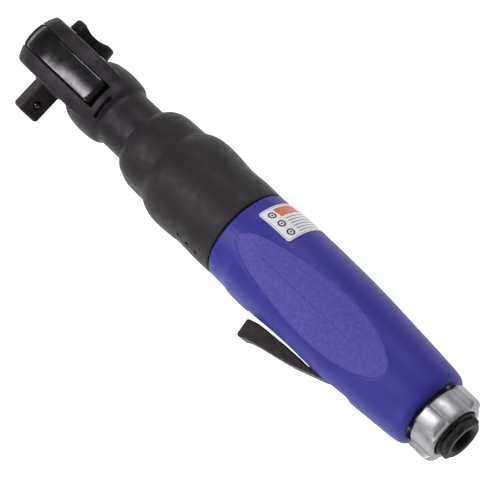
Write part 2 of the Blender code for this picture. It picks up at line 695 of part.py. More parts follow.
def exhaust_ring():
    levels = []
    for x, radius, depth in (
        (RING_FRONT_X, 18.2, 1.0),
        (RING_FRONT_X + 1.3, 19.4, 2.1),
        (RING_REAR_X - 2.6, 19.4, 2.1),
        (RING_REAR_X, 17.2, 0.8),
    ):
        levels.append((x, lobed_outline(radius, depth, 4, 10, 12.0)))
    ring = piece("exhaust_ring", loft("X", levels), "ring_chrome", from_axis(290.0, 0.0, 0.0))
    cut(ring, lathe("X", [(280, 0), (280, 16.0), (292.6, 16.0), (292.6, 13.8), (299, 13.8), (299, 0)], 28))
    felt = tube("X", 13.8, 15.6, 283.0, 292.2, 24)
    piece("exhaust_muffler", felt, "felt", from_axis(283.0, 0.0, 0.0))


def inlet():
    rear = INLET_END_X
    profile = [(264.0, 5.2), (264.0, 10.8), (288.4, 10.8), (288.4, 9.1), (291.0, 9.1), (291.0, 10.8)]
    profile += [(294.7, 10.8), (294.7, 13.2), (297.9, 13.2), (298.3, 11.0), (rear - 0.5, 11.0)]
    profile += [(rear, 10.6), (rear, INLET_BORE), (286.0, INLET_BORE), (284.5, 5.2)]
    bushing = piece("inlet_bushing", lathe("X", profile, 24), "inlet_black", from_axis(rear, 0.0, 0.0))
    hexagon = circle(22.5 / math.sqrt(3.0), 6, (0.0, 0.0), 8.0)
    nut = pierced_prism("X", hexagon, [circle(9.6, 12)], 298.4, rear - 0.8)
    shape_with(bushing, nut, "UNION")
    section = circle(0.78, 6, (289.7, 10.1))
    piece("inlet_o_ring", lathe("X", section, 20), "seal_rubber", from_axis(289.7, 0.0, 0.0))
    holes = [circle(0.7, 6, turned(2.6, 60.0 * k)) for k in range(6)]
    holes.append(circle(0.7, 6))
    screen = pierced_prism("X", circle(4.9, 16), holes, 279.0, 279.8)
    piece("inlet_screen", screen, "bronze", from_axis(279.0, 0.0, 0.0))


# Cover, grip and label.

COVER_OUTSIDE = [
    (COVER_FRONT_X, 18.2),
    (65.5, 20.6),
    (69.0, 22.5),
    (74.0, 23.7),
    (88.0, 23.9),
    (92.5, 26.1),
    (97.0, 27.1),
    (104.0, 27.6),
    (115.0, 26.9),
    (JOINT_X - 0.9, 26.9),
    (JOINT_X - 0.3, 26.4),
]

SLEEVE_OUTSIDE = [
    (JOINT_X + 0.2, 26.1),
    (JOINT_X + 0.9, 26.7),
    (160.0, 27.6),
    (186.0, 28.1),
    (208.0, 27.6),
    (231.0, 26.4),
    (254.0, 24.9),
    (267.0, 23.9),
    (275.0, 23.1),
    (279.0, 21.9),
    (SLEEVE_END_X, 19.4),
]


def front_cover():
    inside = [(142.6, 24.6), (101.6, 24.6), (101.6, 21.6), (71.2, 21.6), (69.4, 19.8), (69.4, 17.0)]
    inside += [(COVER_FRONT_X, 17.0)]
    cover = piece("front_cover", lathe("X", COVER_OUTSIDE + inside, 28), "cover_rubber")
    for x in (120.0, 127.0, 134.0):
        vent = bar("Y", 1.2, -30.0, -25.6, 8)
        shift = Vector((x, 0.0, 0.0))
        bmesh.ops.translate(vent, verts=vent.verts, vec=shift)
        turn = Matrix.Rotation(-math.radians(26.2), 3, "X")
        bmesh.ops.rotate(vent, verts=vent.verts, cent=from_axis(0.0, 0.0, 0.0), matrix=turn)
        cut(cover, vent)


def handle_sleeve():
    inside = [(SLEEVE_END_X, 17.6), (277.3, 17.6), (277.3, 19.4), (275.0, 20.6), (267.0, 21.6)]
    inside += [(254.0, 22.7), (242.0, 23.5), (225.0, 24.6), (JOINT_X + 0.2, 24.6)]
    sleeve = piece("handle_sleeve", lathe("X", SLEEVE_OUTSIDE + inside, SLEEVE_SIDES), "grip_blue")
    cut(sleeve, box((170.5, -40.0, -7.3), (247.0, -14.0, 7.3)))


def sleeve_radius(x):
    for (low_x, low), (high_x, high) in zip(SLEEVE_OUTSIDE, SLEEVE_OUTSIDE[1:]):
        if low_x <= x <= high_x:
            return low + (high - low) * (x - low_x) / (high_x - low_x)
    return SLEEVE_OUTSIDE[-1][1]


def on_facets(radius, degrees):
    """The point at this angle on the grip's many-sided section."""
    facet = 360.0 / SLEEVE_SIDES
    flat = radius * math.cos(math.radians(facet / 2))
    off_middle = degrees % facet - facet / 2
    return turned(flat / math.cos(math.radians(off_middle)), degrees)


def rating_label():
    """A thin sheet bent round the grip, on the same facets as the grip."""
    stand_off, thickness = 0.05, 0.2
    facet = 360.0 / SLEEVE_SIDES
    angles = [-25.2, *[step * facet for step in range(-1, 5)], 64.0]
    stations = [150.7, 160.0, 173.7]
    mesh = bmesh.new()
    layers = []
    for depth in (stand_off, stand_off + thickness):
        grid = []
        for x in stations:
            row = [on_facets(sleeve_radius(x) + depth, angle) for angle in angles]
            grid.append([mesh.verts.new(from_axis(x, u, v)) for u, v in row])
        layers.append(grid)
    rows, columns = len(stations), len(angles)
    for grid in layers:
        for i in range(rows - 1):
            for j in range(columns - 1):
                mesh.faces.new((grid[i][j], grid[i][j + 1], grid[i + 1][j + 1], grid[i + 1][j]))
    border = [(i, 0) for i in range(rows)] + [(rows - 1, j) for j in range(1, columns)]
    border += [(i, columns - 1) for i in range(rows - 2, -1, -1)]
    border += [(0, j) for j in range(columns - 2, 0, -1)]
    lower, upper = layers
    for (i, j), (m, n) in zip(border, border[1:] + border[:1]):
        mesh.faces.new((lower[i][j], lower[m][n], upper[m][n], upper[i][j]))
    piece("rating_label", mesh, "label_white")


def build():
    clear_scene()
    root = bpy.data.objects.new("air_ratchet", None)
    bpy.context.collection.objects.link(root)
    ratchet_head()
    ratchet_yoke()
    drive_detent(square_drive_anvil())
    ratchet_parts()
    reverse_knob()
    crankshaft()
    reduction_gear()
    clamp_nut()
    rotor()
    motor_stator()
    motor_housing()
    throttle_lever()
    throttle_valve()
    exhaust_ring()
    inlet()
    front_cover()
    handle_sleeve()
    rating_label()


build()
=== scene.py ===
"""Air ratchet: the finished look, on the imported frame.

Lengths are millimetres until they become a mesh. Along the tool they are x, from the drive's axis towards
the air inlet. Across it they are h, towards the reversing knob, and z, towards the side that faces up.
Angles round the tool are degrees from +h towards +z.
"""

import json
import math

import bmesh
import bpy
import numpy as np
from mathutils import Matrix, Vector

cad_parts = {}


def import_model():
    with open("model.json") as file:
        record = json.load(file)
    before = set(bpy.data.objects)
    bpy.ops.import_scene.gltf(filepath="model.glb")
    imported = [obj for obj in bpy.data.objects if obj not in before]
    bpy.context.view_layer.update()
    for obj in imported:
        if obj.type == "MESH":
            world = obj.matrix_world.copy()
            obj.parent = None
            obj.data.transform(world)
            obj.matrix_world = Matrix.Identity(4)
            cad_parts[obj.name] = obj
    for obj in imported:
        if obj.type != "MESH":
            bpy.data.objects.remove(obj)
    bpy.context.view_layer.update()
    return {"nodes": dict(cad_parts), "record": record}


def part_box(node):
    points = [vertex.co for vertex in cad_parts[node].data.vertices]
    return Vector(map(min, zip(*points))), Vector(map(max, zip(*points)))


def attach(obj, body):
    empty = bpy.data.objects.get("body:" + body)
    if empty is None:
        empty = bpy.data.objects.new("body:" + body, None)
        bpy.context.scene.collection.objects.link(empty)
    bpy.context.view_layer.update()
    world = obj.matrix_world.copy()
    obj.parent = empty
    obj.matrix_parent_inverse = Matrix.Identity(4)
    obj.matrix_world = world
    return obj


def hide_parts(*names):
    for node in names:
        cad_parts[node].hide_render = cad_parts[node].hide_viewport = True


MM = 0.001
AXIS_Y = 34.2  # the tool's axis lies this far above the end of the square drive


# ---------------------------------------------------------------- curves and outlines


def curve(points, at):
    """A smooth curve through (x, y) points that never overshoots them, read at these x."""
    xs, ys = np.array(points, float).T
    steps = np.diff(xs)
    slopes = np.diff(ys) / steps
    tangents = np.zeros_like(ys)
    product = slopes[:-1] * slopes[1:]
    total = np.where(np.abs(slopes[:-1] + slopes[1:]) < 1e-12, 1.0, slopes[:-1] + slopes[1:])
    tangents[1:-1] = np.where(product > 0.0, 2.0 * product / total, 0.0)
    tangents[0], tangents[-1] = slopes[0], slopes[-1]
    at = np.clip(at, xs[0], xs[-1])
    k = np.clip(np.searchsorted(xs, at) - 1, 0, len(steps) - 1)
    t = (at - xs[k]) / steps[k]
    rise = ys[k] * (1 + 2 * t) * (1 - t) ** 2 + ys[k + 1] * t * t * (3 - 2 * t)
    lean = steps[k] * (tangents[k] * t * (1 - t) ** 2 + tangents[k + 1] * t * t * (t - 1))
    return rise + lean


def smoothstep(low, high, value):
    """Rises smoothly from 0 where the value is low to 1 where it is high."""
    t = np.clip((value - low) / (high - low), 0.0, 1.0)
    return t * t * (3.0 - 2.0 * t)


def arc(radius, start, end, steps, centre=(0.0, 0.0)):
    """Points along an arc, from one angle to another in degrees."""
    angles = np.radians(np.linspace(start, end, steps + 1))
    return np.stack([centre[0] + radius * np.cos(angles), centre[1] + radius * np.sin(angles)], axis=1)


def rounded(points, radius, steps=5):
    """A closed outline with its corners rounded off, by less where a side is short."""
    points = np.array(points, float)
    made = []
    for before, corner, after in zip(np.roll(points, 1, axis=0), points, np.roll(points, -1, axis=0)):
        back, ahead = before - corner, after - corner
        reach_back = min(radius, 0.45 * np.linalg.norm(back))
        reach_ahead = min(radius, 0.45 * np.linalg.norm(ahead))
        start = corner + back / np.linalg.norm(back) * reach_back
        end = corner + ahead / np.linalg.norm(ahead) * reach_ahead
        for t in np.linspace(0.0, 1.0, steps + 1):
            made.append((1 - t) ** 2 * start + 2 * t * (1 - t) * corner + t * t * end)
    return np.array(made)


def turned(points, degrees):
    """Outline points turned about the origin."""
    cos, sin = math.cos(math.radians(degrees)), math.sin(math.radians(degrees))
    u, v = np.array(points, float).T
    return np.stack([u * cos - v * sin, u * sin + v * cos], axis=1)


def place(axis, u, v, w):
    """Outline points (u, v) at w along an axis. X: (h, z). Y: (x, z), w is h. Z: (x, h)."""
    u, v, w = np.broadcast_arrays(u, v, w)
    if axis == "X":
        x, h, z = w, u, v
    elif axis == "Y":
        x, h, z = u, w, v
    else:
        x, h, z = u, v, w
    return np.stack([x, h + AXIS_Y, z], axis=-1) * MM


# ---------------------------------------------------------------- meshes


def new_object(name, vertices, faces):
    mesh = bpy.data.meshes.new(name)
    mesh.from_pydata(vertices, [], faces)
    obj = bpy.data.objects.new(name, mesh)
    bpy.context.collection.objects.link(obj)
    face_outwards(obj)
    return obj


def face_outwards(obj):
    work = bmesh.new()
    work.from_mesh(obj.data)
    bmesh.ops.recalc_face_normals(work, faces=work.faces)
    work.to_mesh(obj.data)
    work.free()


def skin(name, points, ends):
    """Quads over rows of points. Each row is a ring. The ends are capped, or joined to each other."""
    rows, columns = points.shape[:2]
    index = np.arange(rows * columns).reshape(rows, columns)
    index = np.concatenate([index, index[:, :1]], axis=1)
    if ends == "joined":
        index = np.concatenate([index, index[:1]], axis=0)
    quads = np.stack([index[:-1, :-1], index[:-1, 1:], index[1:, 1:], index[1:, :-1]], axis=-1)
    faces = quads.reshape(-1, 4).tolist()
    if ends == "capped":
        faces.append(index[0, :columns][::-1].tolist())
        faces.append(index[-1, :columns].tolist())
    return new_object(name, points.reshape(-1, 3).tolist(), faces)


def prism(name, axis, outline, low, high):
    u, v = np.array(outline, float).T
    return skin(name, np.stack([place(axis, u, v, low), place(axis, u, v, high)]), "capped")


def stack(name, axis, levels):
    """A solid through outlines of equal length, given as (position along the axis, outline)."""
    rows = [place(axis, np.array(outline)[:, 0], np.array(outline)[:, 1], w) for w, outline in levels]
    return skin(name, np.stack(rows), "capped")


def lathe(name, axis, profile, count):
    """A closed profile of (position along the axis, radius) turned round. Radius 0 is made very small."""
    profile = np.array(profile, float)
    start = 1.7  # degrees, so that no corner lies on a plane of symmetry
    angles = np.radians(start + 360.0 * np.arange(count) / count)
    radius = np.maximum(profile[:, 1:], 0.002)
    return skin(name, place(axis, radius * np.cos(angles), radius * np.sin(angles), profile[:, :1]), "joined")


def bar(name, axis, radius, low, high, count, centre=(0.0, 0.0)):
    """A round bar. Its first corner lies off the planes of symmetry too."""
    return prism(name, axis, arc(radius, 3.0, 363.0, count, centre)[:-1], low, high)


def box(name, low, high):
    """A box between two corners, each (x, h, z)."""
    outline = [(low[0], low[1]), (high[0], low[1]), (high[0], high[1]), (low[0], high[1])]
    return prism(name, "Z", outline, low[2], high[2])


def about_drive(obj, degrees):
    """Turns an object's mesh about the drive's axis, from +x towards +z."""
    obj.data.transform(Matrix.Rotation(-math.radians(degrees), 4, "Y"))
    return obj


def settle(obj):
    """Makes the object's modifiers part of its mesh."""
    graph = bpy.context.evaluated_depsgraph_get()
    baked = bpy.data.meshes.new_from_object(obj.evaluated_get(graph))
    old = obj.data
    obj.modifiers.clear()
    obj.data = baked
    bpy.data.meshes.remove(old)
    return obj


def combine(target, operation, *tools):
    """Cuts closed tools from the target or joins them to it, and removes the tools."""
    for tool in tools:
        change = target.modifiers.new(operation.lower(), "BOOLEAN")
        change.operation = operation
        change.object = tool
        change.solver = "MANIFOLD"
        settle(target)
        mesh = tool.data
        bpy.data.objects.remove(tool)
        bpy.data.meshes.remove(mesh)
    return target


def soften(obj, cell, passes):
    """Remeshes at this cell size and smooths, so that edges and joins round off as on a casting."""
    change = obj.modifiers.new("remesh", "REMESH")
    change.mode = "VOXEL"
    change.voxel_size = cell * MM
    smooth = obj.modifiers.new("smooth", "SMOOTH")
    smooth.factor = 0.5
    smooth.iterations = passes
    return settle(obj)


def finished(obj, body, material, nodes, sharp=None):
    """Shades a piece, gives it its material, and lets it stand for its CAD nodes on their body."""
    obj.data.materials.clear()
    obj.data.materials.append(material)
    obj.data.shade_smooth()
    if sharp is not None:
        obj.data.set_sharp_from_angle(angle=math.radians(sharp))
    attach(obj, body)
    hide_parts(*nodes)
    return obj


# ---------------------------------------------------------------- materials


class Finish:
    """A procedural material under construction. Its texture space is the row frame, in metres."""

    def __init__(self, name):
        self.material = bpy.data.materials.new(name)
        self.material.use_nodes = True
        self.nodes = self.material.node_tree.nodes
        self.links = self.material.node_tree.links
        self.shader = self.nodes["Principled BSDF"]
        self.space = self.nodes.new("ShaderNodeTexCoord").outputs["Object"]
        self.last_bump = None

    def set(self, **values):
        for name, value in values.items():
            self.shader.inputs[name.replace("_", " ")].default_value = value
        return self

    def noise(self, size, detail=3.0, stretch=(1.0, 1.0, 1.0)):
        """Noise with blobs about this many millimetres across."""
        mapping = self.nodes.new("ShaderNodeMapping")
        mapping.inputs["Scale"].default_value = stretch
        self.links.new(self.space, mapping.inputs["Vector"])
        noise = self.nodes.new("ShaderNodeTexNoise")
        noise.inputs["Scale"].default_value = 1.0 / (size * MM)
        noise.inputs["Detail"].default_value = detail
        self.links.new(mapping.outputs["Vector"], noise.inputs["Vector"])
        return noise.outputs["Fac"]

    def cells(self, size):
        voronoi = self.nodes.new("ShaderNodeTexVoronoi")
        voronoi.inputs["Scale"].default_value = 1.0 / (size * MM)
        self.links.new(self.space, voronoi.inputs["Vector"])
        return voronoi.outputs["Distance"]

    def ramp(self, source, low, high, dark, light):
        """Maps a value from low..high to between two colours."""
        ramp = self.nodes.new("ShaderNodeValToRGB")
        ramp.color_ramp.elements[0].position = low
        ramp.color_ramp.elements[1].position = high
        ramp.color_ramp.elements[0].color = (*dark, 1.0)
        ramp.color_ramp.elements[1].color = (*light, 1.0)
        self.links.new(source, ramp.inputs["Fac"])
        return ramp.outputs["Color"]

    def scaled(self, source, low, high):
        spread = self.nodes.new("ShaderNodeMapRange")
        spread.inputs["From Min"].default_value = 0.3
        spread.inputs["From Max"].default_value = 0.7
        spread.inputs["To Min"].default_value = low
        spread.inputs["To Max"].default_value = high
        self.links.new(source, spread.inputs["Value"])
        return spread.outputs["Result"]

    def colour(self, output):
        self.links.new(output, self.shader.inputs["Base Color"])
        return self

    def roughness(self, source, low, high):
        self.links.new(self.scaled(source, low, high), self.shader.inputs["Roughness"])
        return self

    def bump(self, source, depth):
        """Raises the surface by up to this many millimetres where the source is 1."""
        bump = self.nodes.new("ShaderNodeBump")
        bump.inputs["Strength"].default_value = 1.0
        bump.inputs["Distance"].default_value = depth * MM
        self.links.new(source, bump.inputs["Height"])
        if self.last_bump is not None:
            self.links.new(self.last_bump, bump.inputs["Normal"])
        self.last_bump = bump.outputs["Normal"]
        self.links.new(self.last_bump, self.shader.inputs["Normal"])
        return self


METAL_SHEEN = {"Specular_IOR_Level": 0.3, "Specular_Tint": (0.6, 0.6, 0.6, 1.0)}


def worn_metal(name, dark, light, metallic, rough, grain, depth, patch=9.0):
    """Metal with cloudy colour, uneven gloss and a fine grain. Grain, depth and patch are millimetres."""
    made = Finish(name).set(Metallic=metallic, **METAL_SHEEN)
    made.colour(made.ramp(made.noise(patch, 6.0), 0.35, 0.68, dark, light))
    made.roughness(made.noise(patch * 0.4, 4.0), *rough)
    made.bump(made.noise(grain, 2.0), depth)
    return made


def forged_finish():
    dark, light = (0.024, 0.020, 0.025), (0.038, 0.032, 0.039)
    made = worn_metal("forged_black", dark, light, metallic=0.3, rough=(0.4, 0.55), grain=0.5, depth=0.02)
    made.bump(made.noise(4.5, 3.0), 0.05)
    return made.material


def yoke_finish():
    dark, light = (0.045, 0.042, 0.047), (0.080, 0.074, 0.080)
    made = worn_metal("ground_yoke", dark, light, metallic=1.0, rough=(0.2, 0.3), grain=0.25, depth=0.004)
    made.bump(made.noise(0.5, 2.0, stretch=(1.0, 14.0, 1.0)), 0.006)
    return made.material


def drive_finish():
    dark, light = (0.018, 0.0150, 0.0145), (0.037, 0.0315, 0.0305)
    made = worn_metal(
        "phosphated_drive", dark, light, metallic=0.4, rough=(0.4, 0.55), grain=0.35, depth=0.012
    )
    return made.material


def knob_finish():
    dark, light = (0.009, 0.010, 0.010), (0.03, 0.031, 0.031)
    made = worn_metal(
        "cast_knob", dark, light, metallic=0.25, rough=(0.42, 0.62), grain=0.9, depth=0.05, patch=2.2
    )
    made.bump(made.cells(1.1), 0.03)
    return made.material


def bright_finish():
    dark, light = (0.36, 0.36, 0.38), (0.52, 0.52, 0.54)
    made = worn_metal("ground_steel", dark, light, metallic=1.0, rough=(0.2, 0.34), grain=0.3, depth=0.004)
    return made.material


# Painted shade for the yoke's nose: a near-black, barely reflective finish that stands in for the shade the
# rounded nose lies in.
def nose_shade_finish():
    dark, light = (0.004, 0.004, 0.005), (0.010, 0.009, 0.011)
    made = worn_metal("yoke_nose_painted_shade", dark, light, metallic=0.0, rough=(0.6, 0.75), grain=0.5, depth=0.01)
    made.set(Specular_IOR_Level=0.03)
    return made.material


# Oiled black steel for the inner parts, and also the painted shade on the exhaust ring's hub.
def dark_part_finish():
    dark, light = (0.02, 0.02, 0.022), (0.045, 0.044, 0.046)
    made = worn_metal(
        "oil_black_steel_and_hub_shade", dark, light, metallic=0.8, rough=(0.3, 0.45), grain=0.3, depth=0.006
    )
    return made.material


def aluminium_finish():
    dark, light = (0.48, 0.49, 0.5), (0.62, 0.63, 0.65)
    made = worn_metal(
        "machined_aluminium", dark, light, metallic=1.0, rough=(0.28, 0.42), grain=0.4, depth=0.006
    )
    return made.material


def chrome_finish():
    dark, light = (0.40, 0.39, 0.41), (0.48, 0.47, 0.49)
    made = worn_metal(
        "satin_chrome", dark, light, metallic=0.7, rough=(0.3, 0.42), grain=0.5, depth=0.006, patch=5.0
    )
    made.bump(made.noise(3.2, 3.0), 0.015)
    return made.material


def inlet_finish():
    dark, light = (0.018, 0.016, 0.018), (0.042, 0.038, 0.042)
    made = worn_metal("plated_inlet", dark, light, metallic=0.6, rough=(0.33, 0.5), grain=0.45, depth=0.02)
    return made.material


def bronze_finish():
    dark, light = (0.32, 0.19, 0.08), (0.48, 0.31, 0.14)
    made = worn_metal(
        "sintered_bronze", dark, light, metallic=1.0, rough=(0.3, 0.5), grain=0.35, depth=0.015
    )
    return made.material


def lever_finish():
    """Dark steel with streaks along the lever."""
    made = Finish("lever_steel").set(Metallic=0.5, **METAL_SHEEN)
    streaks = made.noise(1.0, 5.0, stretch=(0.22, 1.3, 0.6))
    made.colour(made.ramp(streaks, 0.32, 0.7, (0.015, 0.0125, 0.012), (0.034, 0.029, 0.027)))
    made.roughness(made.noise(3.0), 0.36, 0.54)
    made.bump(streaks, 0.03)
    made.bump(made.noise(0.4, 2.0), 0.01)
    return made.material


# Painted highlight: a light grey metal band that stands in for the highlight on the edge between the yoke's
# flank and its nose.
def edge_highlight_finish():
    dark, light = (0.2, 0.2, 0.21), (0.34, 0.34, 0.35)
    made = worn_metal(
        "yoke_edge_painted_highlight", dark, light, metallic=0.9, rough=(0.35, 0.5), grain=0.4, depth=0.01, patch=4.0
    )
    return made.material


def ball_finish():
    dark, light = (0.05, 0.048, 0.045), (0.09, 0.086, 0.08)
    made = worn_metal(
        "polished_ball", dark, light, metallic=1.0, rough=(0.25, 0.35), grain=0.4, depth=0.004, patch=2.0
    )
    return made.material


def rubber_finish():
    made = Finish("moulded_rubber").set(Metallic=0.0, Specular_IOR_Level=0.25)
    dark, light = (0.0175, 0.0135, 0.0170), (0.0290, 0.0235, 0.0280)
    made.colour(made.ramp(made.noise(14.0, 7.0), 0.3, 0.72, dark, light))
    made.roughness(made.noise(5.0, 5.0), 0.46, 0.62)
    made.bump(made.noise(0.35, 2.0), 0.012)
    made.bump(made.noise(7.0, 3.0), 0.05)
    return made.material


def grip_finish():
    made = Finish("blue_grip").set(Metallic=0.0, Specular_IOR_Level=0.2)
    made.colour(made.ramp(made.noise(18.0, 6.0), 0.28, 0.74, (0.038, 0.034, 0.300), (0.050, 0.045, 0.350)))
    made.roughness(made.noise(6.0, 4.0), 0.38, 0.5)
    made.bump(made.noise(0.5, 2.0), 0.012)
    return made.material


def sheen_panel_finish():
    """The grip's side panels: the same moulding with a matt, pebbled grain, coloured lighter as a painted
    sheen of the soft light on them.
    """
    made = Finish("grip_panel_painted_sheen").set(Metallic=0.0, Specular_IOR_Level=0.2)
    made.colour(made.ramp(made.noise(1.6, 6.0), 0.3, 0.7, (0.082, 0.067, 0.37), (0.116, 0.096, 0.46)))
    made.roughness(made.noise(2.0, 4.0), 0.55, 0.7)
    made.bump(made.noise(0.8, 3.0), 0.06)
    return made.material


def plain_finish(name, dark, light, rough, grain):
    """Paper, ink, felt or resin: slightly mottled, with a grain this many millimetres across."""
    made = Finish(name).set(Metallic=0.0, Specular_IOR_Level=0.3)
    made.colour(made.ramp(made.noise(grain * 3.0, 4.0), 0.3, 0.7, dark, light))
    made.roughness(made.noise(grain * 2.0), *rough)
    made.bump(made.noise(grain, 3.0), grain * 0.05)
    return made.material


# ---------------------------------------------------------------- head


NOSE_X = 27.0  # the nose lies this far in front of the drive's axis
HEAD_HALF = 15.6  # half the head's thickness
SLOT_HALF = 7.4  # half the width of the slot that the yoke swings in
SLOT_END = 36.8
RIM_RADIUS = 27.0  # of the barrelled rim, seen along the tool
YOKE_TEETH = 40
LEG_GAP_HALF = 10.4
# Half the head's width at points along the tool.
HEAD_FLANK = [(0, 24.2), (8, 24.0), (18, 22.9), (28, 21.3), (38, 19.6), (46, 18.2)]


def head_outline(inset, rear):
    """Half the plan of the head at one height: from the nose round to a point on its flank, as (x, z)."""
    nose = arc(1.0, 180.0, 90.0, 60) * (NOSE_X - inset, HEAD_FLANK[0][1] - inset)
    flank_x = np.linspace(0.0, rear, 36)[1:]
    flank_z = curve(HEAD_FLANK, flank_x) - inset
    return np.concatenate([nose, np.stack([flank_x, flank_z], axis=1)])


def mirrored(half):
    """A closed outline from its upper half, which starts on the axis of symmetry."""
    return np.concatenate([half, half[:0:-1] * (1.0, -1.0)])


def crown(h):
    """How far the head's rim draws in at h, as its edge is slightly barrelled."""
    return h * h / (2.0 * RIM_RADIUS)


def edge_inset(h, half, radius):
    """How far an outline draws in near a rounded edge at plus or minus half."""
    past = np.clip(abs(h) - (half - radius), 0.0, radius)
    return radius - math.sqrt(radius * radius - past * past)


def fork():
    """Both jaws as one rounded block, drawn in at the rear to run into the collar."""
    edge, rear = 1.6, 40.0
    heights = np.concatenate(
        [np.linspace(-HEAD_HALF, -13.6, 8), np.linspace(-12.5, 12.5, 18), np.linspace(13.6, HEAD_HALF, 8)]
    )
    envelope = [(-30, 30), (3, 28.5), (12, 26.6), (20, 24.2), (28, 21.8), (34, 20.4), (38, 19.4), (40, 17.6)]
    rows = []
    for h in heights:
        half = head_outline(crown(h) + edge_inset(h, HEAD_HALF, edge), rear)
        across = np.linspace(half[-1][1], -half[-1][1], 20)[1:-1]
        end = np.stack([np.full_like(across, rear), across], axis=1)
        x, z = np.concatenate([half, end, half[:0:-1] * (1.0, -1.0)]).T
        shrink = np.minimum(1.0, curve(envelope, x) / np.maximum(np.hypot(h, z), 0.1))
        rows.append(place("Y", x, z * shrink, h * shrink))
    return skin("fork", np.stack(rows), "capped")


def collar():
    """The round body behind the jaws: a swelling, the neck, and the gear case under the front cover."""
    outside = [(16, 14.4), (18, 16.9), (20.5, 18.3), (24, 19.4), (31, 20.1), (37, 19.9), (41.0, 19.3)]
    xs = np.linspace(16.0, 41.0, 40)
    profile = [(16.0, 0.0), *zip(xs, curve(outside, xs))]
    profile += [(42.6, 18.7), (43.6, 17.6), (44.6, 16.9), (47, 16.6), (71.8, 16.6), (71.8, 19.4)]
    profile += [(88.5, 19.1), (88.5, 0)]
    return lathe("collar", "X", profile, 128)


def ratchet_head(material):
    """The forging: its edges are softened before the turned bores, the groove and the two slits are cut."""
    head = combine(fork(), "UNION", collar())
    combine(head, "DIFFERENCE", box("slot", (-30, -SLOT_HALF, -30), (SLOT_END, SLOT_HALF, 30)))
    drive_hole = bar("drive_hole", "Y", 13.7, -17, 0, 72)
    knob_hole = bar("knob_hole", "Y", 9.2, 0, 17, 60)
    combine(head, "DIFFERENCE", drive_hole, knob_hole)
    soften(head, 0.42, 4)
    bores = [(26, 0), (26, 9.6), (39.6, 9.6), (39.6, 13.4), (72.1, 13.4), (72.1, 17.5), (90, 17.5), (90, 0)]
    groove = [(-14.95, 12.9), (-14.95, 14.6), (-13.95, 14.6), (-13.95, 12.9)]
    combine(head, "DIFFERENCE", lathe("bores", "X", bores, 64))
    combine(head, "DIFFERENCE", lathe("ring_groove", "Y", groove, 72))
    for low, high in ((-25.0, -10.0), (10.0, 25.0)):
        combine(head, "DIFFERENCE", box("slit", (40.3, -9.9, low), (42.3, 4.1, high)))
    return finished(head, "body", material, ["ratchet_head"])


def yoke_outline(inset):
    """Plan of the yoke's outside: a ring run back to a straight rear edge that stops at the gap."""
    corner, rear = 4.6, 35.0 - inset
    half = head_outline(inset + 0.15, rear - corner)
    corner_z = half[-1][1]
    bend = arc(corner, 90.0, 8.0, 12, (rear - corner, corner_z - corner))[1:]
    return mirrored(np.concatenate([half, bend, [(rear, corner_z - corner - 0.4), (rear, LEG_GAP_HALF)]]))


def leg_gap():
    """A cutter for the gap between the yoke's legs, which ends in a half round."""
    end = arc(LEG_GAP_HALF, 180.0, 90.0, 20, (31.0, 0.0))
    outline = mirrored(np.concatenate([end, [(45.0, LEG_GAP_HALF)]]))
    return prism("leg_gap", "Y", outline, -12.0, 12.0)


def ratchet_yoke(ground, black, edge_highlight):
    """The yoke, ground on its flanks, with painted shade at the nose and a painted highlight where the two
    meet.
    """
    half, edge = SLOT_HALF - 0.03, 1.1
    heights = np.concatenate(
        [np.linspace(-half, -half + edge, 6), np.linspace(-5.5, 5.5, 9), np.linspace(half - edge, half, 6)]
    )
    levels = [(h, yoke_outline(crown(h) + 0.8 * edge_inset(h, half, edge))) for h in heights]
    yoke = combine(stack("yoke_ring", "Y", levels), "DIFFERENCE", leg_gap())
    tip, root, pitch = (14.2, 0.0), (15.5, 0.0), 360.0 / YOKE_TEETH
    teeth = []
    for tooth in range(YOKE_TEETH):
        teeth += [turned([tip], pitch * tooth)[0], turned([root], pitch * (tooth + 0.5))[0]]
    combine(yoke, "DIFFERENCE", prism("teeth", "Y", teeth, -half - 1.0, half + 1.0))
    finished(yoke, "ratchet_yoke", ground, ["ratchet_yoke"], 40.0)
    yoke.data.materials.append(black)
    yoke.data.materials.append(edge_highlight)
    # Faces round the nose take the near-black painted shade, and a band just behind them takes a painted
    # highlight.
    nose_end, highlight_end = 44.0, 51.0
    for face in yoke.data.polygons:
        x, z = face.center.x / MM, abs(face.center.z) / MM
        if math.hypot(x, z) > 19.0 and x < 0.0:
            turn = math.degrees(math.atan2(z, -x))
            face.material_index = 1 if turn < nose_end else 2 if turn < highlight_end else 0
    return yoke


# The square is turned this far about the drive's axis, and its ball lies at this h.
DRIVE_TURN = 38.0
SQUARE_SIDE = 12.7
SQUARE_CORNER = 1.1
BALL_H = -26.4


def rounded_square(side, corner):
    """Plan of the square, turned as it stands at rest."""
    inner = side / 2 - corner
    corners = []
    for quarter in range(4):
        centre = turned([(inner, inner)], 90.0 * quarter)[0]
        corners.append(arc(corner, 90.0 * quarter, 90.0 * quarter + 90.0, 10, centre))
    return turned(np.concatenate(corners), 90.0 + DRIVE_TURN)


def drive_blank():
    """The spindle and its square, which is rounded over at the end."""
    body = [(-16.9, 0), (-16.9, 7.8), (-16.3, 8.6), (-15.4, 9.5), (-12.7, 9.5), (-12.7, 13.3), (7.1, 13.3)]
    body += [(7.1, 8.9), (12.2, 8.9), (12.2, 0)]
    drive = lathe("output_drive", "Y", body, 96)
    end_inset, end_depth = 1.7, 2.0
    levels = [(-15.5, rounded_square(SQUARE_SIDE, SQUARE_CORNER))]
    for t in np.linspace(0.0, 1.0, 9):
        inset = end_inset * (1.0 - math.cos(math.radians(90.0 * t)))
        depth = end_depth * math.sin(math.radians(90.0 * t))
        levels.append((-AXIS_Y + end_depth - depth, rounded_square(SQUARE_SIDE - 2 * inset, SQUARE_CORNER)))
    return combine(drive, "UNION", stack("square", "Y", levels))


